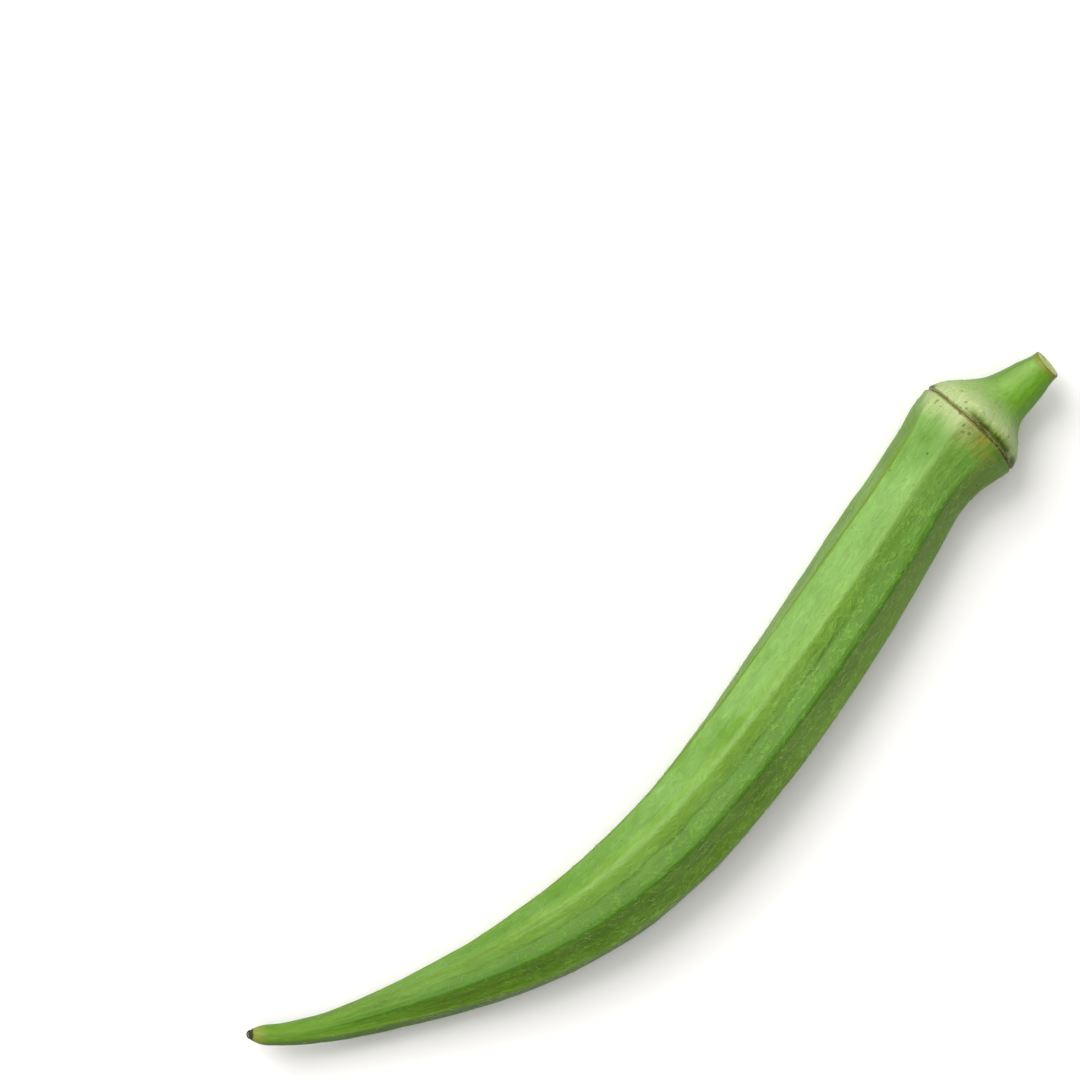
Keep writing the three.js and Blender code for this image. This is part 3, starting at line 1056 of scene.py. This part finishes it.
def at_distance(grid, distance):
    """A ring of the grid at a distance from the tip, between the two rows beside it."""
    rows = skin_rows()[0]
    i = int(np.searchsorted(rows, distance)) - 1
    t = (distance - rows[i]) / (rows[i + 1] - rows[i])
    return grid[i] * (1 - t) + grid[i + 1] * t


def closed_shell(rings, first, last):
    """The faces of a skin over rings of points, closed by a fan at each end. Points are numbered
    first, the rings in order, and last."""
    sides = len(rings[0])
    end = 1 + len(rings) * sides
    faces = []
    for side in range(sides):
        beside = (side + 1) % sides
        starts = range(1, end, sides)
        for near, far in zip(starts, starts[1:]):
            faces.append((near + side, far + side, far + beside, near + beside))
        faces.append((0, 1 + side, 1 + beside))
        faces.append((end, end - sides + beside, end - sides + side))
    points = np.vstack([[first], np.concatenate(rings), [last]])
    return points, faces


def plain_piece(name, points, faces, finish, **marks):
    """A smooth-shaded mesh object, with marks as attributes on its points."""
    mesh = bpy.data.meshes.new(name)
    mesh.from_pydata([tuple(map(float, p)) for p in points], [], faces)
    for title, values in marks.items():
        attribute = mesh.attributes.new(title, "FLOAT", "POINT")
        attribute.data.foreach_set("value", np.array(values, np.float32))
    mesh.polygons.foreach_set("use_smooth", [True] * len(mesh.polygons))
    mesh.materials.append(finish)
    mesh.update()
    return in_scene(name, mesh)


def scar_tree(finish):
    """The tree that spins a ragged thread along a closed path, thick and thin by turns."""
    tree, given = geometry_tree(
        "Scar Thread",
        Thickest=0.00009,
        Thinnest=0.00003,
        Tatters_per_metre=420.0,
        Bends_per_metre=1400.0,
        Bend=0.00035,
        Sides=6,
        Finish=finish,
    )
    sums = Sums(tree)
    place = node(tree, "GeometryNodeInputPosition").outputs[0]
    tatters = sums.noise(place, given["Tatters per metre"], 3.0, 0.65)
    radius = sums.ramp(tatters, -0.2, 0.25, given["Thinnest"], given["Thickest"])
    inputs = {"Vector": place, "Scale": given["Bends per metre"], "Detail": 1.0}
    bends = node(tree, "ShaderNodeTexNoise", inputs).outputs["Color"]
    shift = sums.scaled(sums.vector("SUBTRACT", bends, (0.5, 0.5, 0.5)), given["Bend"])
    moved = node(
        tree, "GeometryNodeSetPosition", {"Geometry": given["Geometry"], "Offset": shift}
    )
    path = node(tree, "GeometryNodeMeshToCurve", {"Mesh": moved.outputs[0]})
    tube = swept(tree, path.outputs[0], given["Sides"], Scale=radius)
    smooth = node(tree, "GeometryNodeSetShadeSmooth", {"Geometry": tube})
    finish_tree(tree, smooth.outputs[0], given["Finish"])
    return tree


def ring_scar(skin):
    """Ragged corky threads along the lips of the scar."""
    places, facing = skin_grid(skin)
    points, edges = [], []
    for off in THREADS:
        ring = at_distance(places, RING_AT + off)
        ring = ring - THREAD_SINK * MM * at_distance(facing, RING_AT + off)
        first = len(points)
        points += [tuple(map(float, p)) for p in ring]
        edges += [(first + i, first + (i + 1) % len(ring)) for i in range(len(ring))]
    mesh = bpy.data.meshes.new("scar_paths")
    mesh.from_pydata(points, edges, [])
    return grown("ring_scar", scar_tree(scar_material()), mesh)


def stem_cut_face(skin):
    """The face of the cut: a thin lens in the hollow of the rim, with fibres that stand out a
    little."""
    places, _ = skin_grid(skin)
    rim = places[-len(CUT_ROWS)]
    middle = places[-1].mean(0)
    out = Vector(np.cross(rim[0] - middle, rim[SKIN_SIDES // 4] - middle)).normalized()
    shares = np.linspace(FIRST_CUT_RING, 1.0, CUT_RINGS)
    rings, marks = [], []
    for share in shares:
        ringed = FIBRE_RING_HEIGHT * math.exp(-(((share - FIBRE_RING) / FIBRE_RING_WIDTH) ** 2))
        ring = []
        for p in rim[::CUT_STEP]:
            q = Vector(middle * (1 - share) + p * share)
            fibres = sum(noise.noise(q * per_metre) * rise for per_metre, rise in CUT_FIBRES)
            height = (LENS_HEIGHT + ringed + fibres) * (1 - share**6) - LENS_SINK
            ring.append(q + out * height * MM)
        rings.append(np.array(ring))
        marks += [share] * len(ring)
    marks += [share for share in shares[::-UNDERSIDE_STEP] for _ in rings[0]]
    rings += [ring - np.array(out) * LENS_THICKNESS * MM for ring in rings[::-UNDERSIDE_STEP]]
    points, faces = closed_shell(rings, rings[0].mean(0), rings[-1].mean(0))
    marks = [0.0, *marks, 0.0]
    return plain_piece("stem_cut_face", points, faces, cut_face_material(), outward=marks)


def dried_tip(skin):
    """What is left of the flower on the tip: a small ragged cup, dark outside and paler within."""
    places, _ = skin_grid(skin)
    base = at_distance(places, TIP_BASE)
    middle = base.mean(0)
    onward = Vector(middle - at_distance(places, TIP_BASE + CUP_GRIP).mean(0)).normalized()
    opening = (onward + Vector((0, 0, TIP_LOOKS_UP))).normalized()
    level = Vector((0, 0, 1)).cross(opening).normalized()
    upward = opening.cross(level)
    first_way = Vector(base[0] - middle)
    start = math.atan2(first_way.dot(upward), first_way.dot(level))
    rings, marks = [], []
    for share, forward, inner in TIP_PROFILE:
        free = min(1, max(0, forward / CUP_FREE))
        ring = []
        for i, p in enumerate(base[::CUP_STEP]):
            angle = math.tau * i * CUP_STEP / SKIN_SIDES
            spot = Vector((math.cos(angle), math.sin(angle), forward * 3)) * CUP_TATTERS
            ragged = CUP_RAGGED * free * noise.noise(spot)
            on_skin = Vector(middle + (p - middle) * share) + onward * forward * MM
            round_it = level * math.cos(angle + start) + upward * math.sin(angle + start)
            on_cup = Vector(middle) + opening * (forward + ragged) * MM
            on_cup += round_it * share * TIP_RADIUS * CUP_WIDTH * MM
            ring.append(on_skin.lerp(on_cup, free))
        rings.append(np.array(ring))
        marks += [inner] * len(ring)
    first = rings[0].mean(0) - np.array(onward) * CUP_ROOT * MM
    points, faces = closed_shell(rings, first, rings[-1].mean(0))
    marks = [-1.0, *marks, 1.0]
    return plain_piece("dried_tip", points, faces, dried_tip_material(), inner=marks)


def random_value(tree, low, high, seed):
    inputs = {"Min": low, "Max": high, "Seed": seed}
    made = node(tree, "FunctionNodeRandomValue", inputs, data_type="FLOAT")
    return next(output for output in made.outputs if output.enabled)


def hair_tree(finish):
    """The tree that scatters short hairs over the skin, bent over and mostly lengthwise."""
    tree, given = geometry_tree(
        "Short Hairs",
        Hairs_per_square_metre=1.0e6,
        Hair_Length=0.0010,
        Shortest=0.5,
        Longest=1.2,
        Hair_Thickness=0.00002,
        Spread=0.9,
        Clear_of_Floor=0.0008,
        Seed=4,
        Length_Seed=11,
        Finish=finish,
    )
    sums = Sums(tree)
    place = node(tree, "GeometryNodeInputPosition").outputs[0]
    height = node(tree, "ShaderNodeSeparateXYZ", {"Vector": place}).outputs["Z"]
    above = sums.do("GREATER_THAN", height, given["Clear of Floor"])
    on_pod = sums.product(above, sums.between(named(tree, "along"), HAIRY))
    thick = sums.ramp(sums.noise(place, 160.0), -0.2, 0.2, 0.3, 1.0)
    density = sums.product(given["Hairs per square metre"], on_pod, thick)
    inputs = {"Mesh": given["Geometry"], "Density": density, "Seed": given["Seed"]}
    points = node(tree, "GeometryNodeDistributePointsOnFaces", inputs).outputs

    # A few hairs that bend different ways, of length 1 along X.
    join = tree.nodes.new("GeometryNodeJoinGeometry")
    for side, lift in HAIR_BENDS:
        bend = {
            "Resolution": 4,
            "Start": (0, 0, -0.04),
            "Middle": (0.45, -side * 0.6, lift * 2),
            "End": (1.0, side, 0.02),
        }
        arc = node(tree, "GeometryNodeCurveQuadraticBezier", bend)
        taper = node(tree, "GeometryNodeSplineParameter").outputs["Factor"]
        thickness = sums.do("DIVIDE", given["Hair Thickness"], given["Hair Length"])
        scale = sums.product(thickness, sums.ramp(taper, 1.0, 0.2, 0.25, 1.0))
        hair = swept(tree, arc.outputs[0], 3, Scale=scale, Fill_Caps=True)
        one = node(tree, "GeometryNodeGeometryToInstance", {"Geometry": hair})
        tree.links.new(one.outputs[0], join.inputs[0])

    # Each lies along the pod, turned a little to either side.
    align = "FunctionNodeAlignRotationToVector"
    upright = node(tree, align, {"Vector": points["Normal"]}, axis="Z").outputs[0]
    lengthwise = {"Rotation": upright, "Vector": named(tree, "lengthwise", "FLOAT_VECTOR")}
    along_pod = node(tree, align, lengthwise, axis="X", pivot_axis="Z").outputs[0]
    least = sums.product(given["Spread"], -1.0)
    turn = random_value(tree, least, given["Spread"], given["Seed"])
    spin = node(tree, "FunctionNodeAxisAngleToRotation", {"Axis": (0, 0, 1), "Angle": turn})
    inputs = {"Rotation": along_pod, "Rotate By": spin.outputs[0]}
    rotation = node(tree, "FunctionNodeRotateRotation", inputs, rotation_space="LOCAL")
    size = random_value(tree, given["Shortest"], given["Longest"], given["Length Seed"])
    inputs = {
        "Points": points["Points"],
        "Instance": join.outputs[0],
        "Pick Instance": True,
        "Rotation": rotation.outputs[0],
        "Scale": sums.product(given["Hair Length"], size),
    }
    placed = node(tree, "GeometryNodeInstanceOnPoints", inputs)
    finish_tree(tree, placed.outputs[0], given["Finish"])
    return tree


def pod_hairs(skin):
    return grown("pod_hairs", hair_tree(hair_material()), skin.data.copy())


def move_to_box(piece):
    """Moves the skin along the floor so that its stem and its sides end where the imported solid
    ends."""
    low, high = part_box("okra_pod")
    places = points_of(piece.data)
    places[:, 0] += high.x - places[:, 0].max()
    places[:, 1] += (low.y + high.y - places[:, 1].min() - places[:, 1].max()) / 2
    put_points(piece.data, places)


def press_flat(piece):
    """Presses flat what would sink into the floor."""
    places = points_of(piece.data)
    places[:, 2] = np.maximum(places[:, 2], 0)
    put_points(piece.data, places)


def make_floor():
    corners = [(x * FLOOR_HALF, y * FLOOR_HALF, 0) for x, y in [(-1, -1), (1, -1), (1, 1), (-1, 1)]]
    mesh = bpy.data.meshes.new("floor")
    mesh.from_pydata(corners, [], [(0, 1, 2, 3)])
    floor = in_scene("floor", mesh)
    made = empty_material("floor")
    inputs = {"Base Color": (*FLOOR_WHITE, 1), "Roughness": 0.8}
    shader = node(made.node_tree, "ShaderNodeBsdfPrincipled", inputs)
    node(made.node_tree, "ShaderNodeOutputMaterial", {"Surface": shader.outputs[0]})
    mesh.materials.append(made)


def make_light(name, place, size, power):
    """A round lamp that is turned to the pod."""
    light = bpy.data.lights.new(name, "AREA")
    light.shape = "DISK"
    light.size = size
    light.energy = power
    lamp = in_scene(name, light)
    lamp.location = place
    lamp.rotation_euler = Vector(place).to_track_quat("Z", "Y").to_euler()


def make_world():
    world = bpy.data.worlds.new("studio")
    world.use_nodes = True
    sky = world.node_tree.nodes["Background"].inputs
    sky["Color"].default_value = (1, 1, 1, 1)
    sky["Strength"].default_value = SKY_STRENGTH
    bpy.context.scene.world = world


def make_camera():
    """The photograph's view: straight down, rolled so that the pod lies across the picture."""
    camera = bpy.data.cameras.new("camera")
    camera.sensor_width = SENSOR
    camera.sensor_height = SENSOR
    camera.lens = SENSOR * VIEW_HEIGHT / PICTURE_WIDTH
    camera.clip_start = 0.01
    made = in_scene("camera", camera)
    made.location = (*PICTURE_CENTRE, POD_MIDDLE_HEIGHT + VIEW_HEIGHT)
    made.rotation_euler = (0, 0, ROLL)
    bpy.context.scene.camera = made


make_patches()
make_wriggling_lines()
make_specks()
skin = grown("okra_skin", skin_tree(pod_skin_material()), rows_mesh())
move_to_box(skin)
press_flat(skin)
pieces = {
    skin: "pod_skin",
    ring_scar(skin): "ring_scar",
    stem_cut_face(skin): "cut_face",
    dried_tip(skin): "ring_scar",
    pod_hairs(skin): "fine_hair",
}
for piece, slot in pieces.items():
    press_flat(piece)
    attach(piece, "root")
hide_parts("okra_pod")
make_floor()
make_light("key", place=(0.0, 0.75, 1.0), size=0.9, power=13.2)
make_light("overhead", place=(0.0, 0.05, 1.2), size=1.2, power=9.95)
make_world()
make_camera()
bpy.context.scene.view_settings.view_transform = "Standard"
